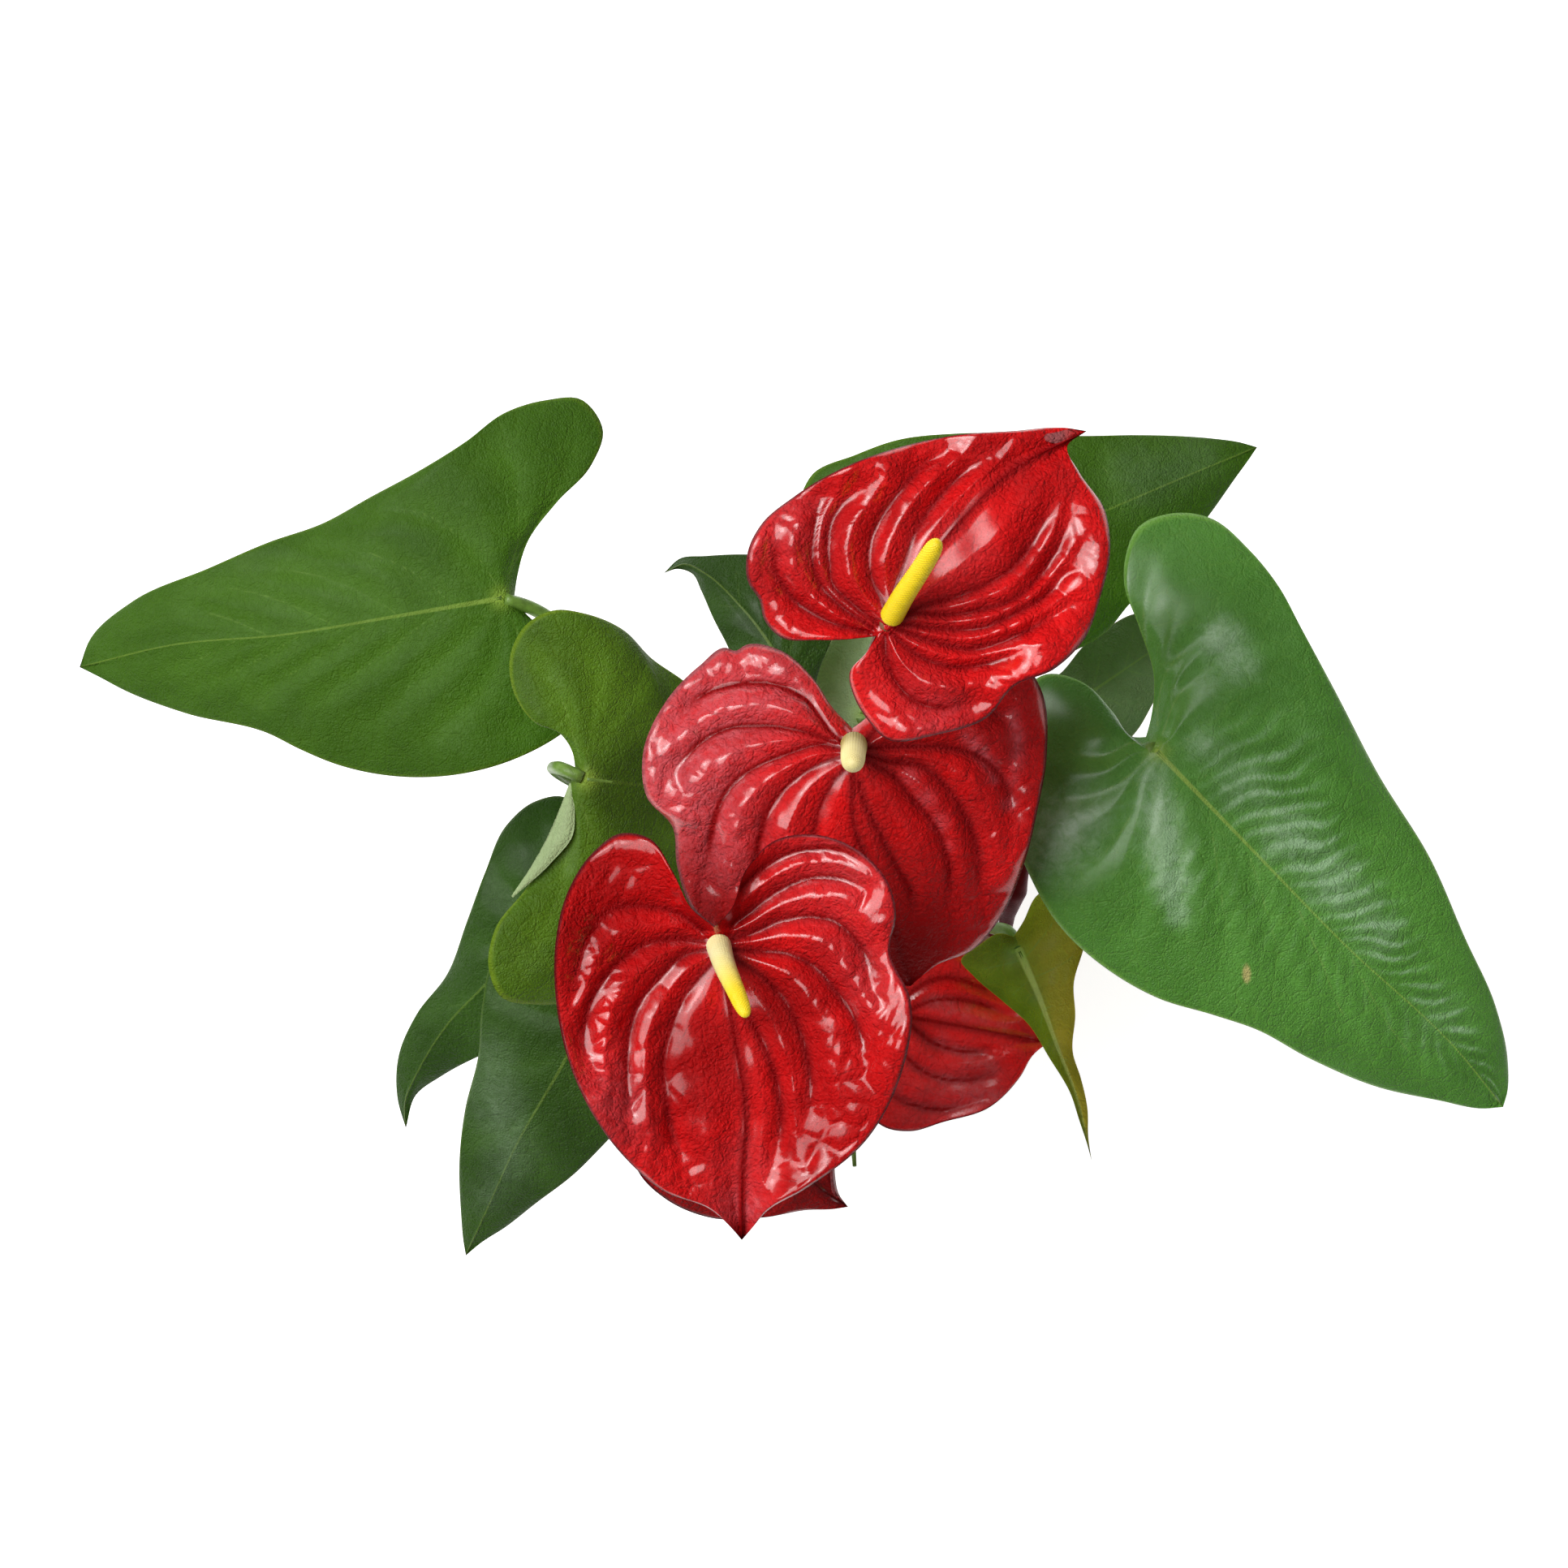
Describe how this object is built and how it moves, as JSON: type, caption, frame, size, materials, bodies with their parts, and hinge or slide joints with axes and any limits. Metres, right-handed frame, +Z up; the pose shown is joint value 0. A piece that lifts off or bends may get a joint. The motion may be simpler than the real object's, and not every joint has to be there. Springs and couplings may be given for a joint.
{
  "type": "potted flamingo flower",
  "caption": "flamingo flower with waved heart-shaped leaves and red spathes on tall stalks, standing in soil in a plain round grow pot",
  "frame": {"origin": "the middle of the pot's flat base", "axes": "+Z up the pot's axis, +X the right and +Y the top of the overhead view"},
  "size_m": [0.4048, 0.2475, 0.407],
  "materials": {
    "pot_plastic": "matte terracotta-coloured plastic",
    "potting_soil": "dark crumbly potting mix",
    "crown_bark": "brown-green rhizome with leaf scars",
    "leaf_green": "waxy green leaf with pale veins",
    "leaf_bronze": "young leaf, olive to bronze, waxy",
    "spathe_red": "glossy waxy red with sunken veins",
    "spadix_yellow": "finely pebbled, cream to yellow",
    "stalk_green": "smooth green stalk, reddish at the top",
    "bud_red": "smooth dark red"
  },
  "bodies": {
    "root": {"pot": "pot_plastic", "soil": "potting_soil", "crown": "crown_bark", "leaf_far_left": "leaf_green", "leaf_left_curled": "leaf_green", "leaf_lower_left_outer": "leaf_green", "leaf_lower_left_inner": "leaf_green", "leaf_upper_left": "leaf_green", "leaf_upper_right": "leaf_green", "leaf_right": "leaf_green", "leaf_young_bronze": "leaf_bronze", "leaf_right_shaded": "leaf_green", "leaf_centre_back": "leaf_green", "leaf_rolled": "leaf_green", "spathe_front": "spathe_red", "spathe_middle": "spathe_red", "spathe_top": "spathe_red", "spathe_lower_right": "spathe_red", "spathe_bottom": "spathe_red", "spadix_front": "spadix_yellow", "spadix_middle": "spadix_yellow", "spadix_top": "spadix_yellow", "spadix_lower_right": "spadix_yellow", "spadix_bottom": "spadix_yellow", "stalk_front": "stalk_green", "stalk_middle": "stalk_green", "stalk_top": "stalk_green", "stalk_lower_right": "stalk_green", "stalk_bottom": "stalk_green", "bud": "bud_red"}
  },
  "joints": []
}
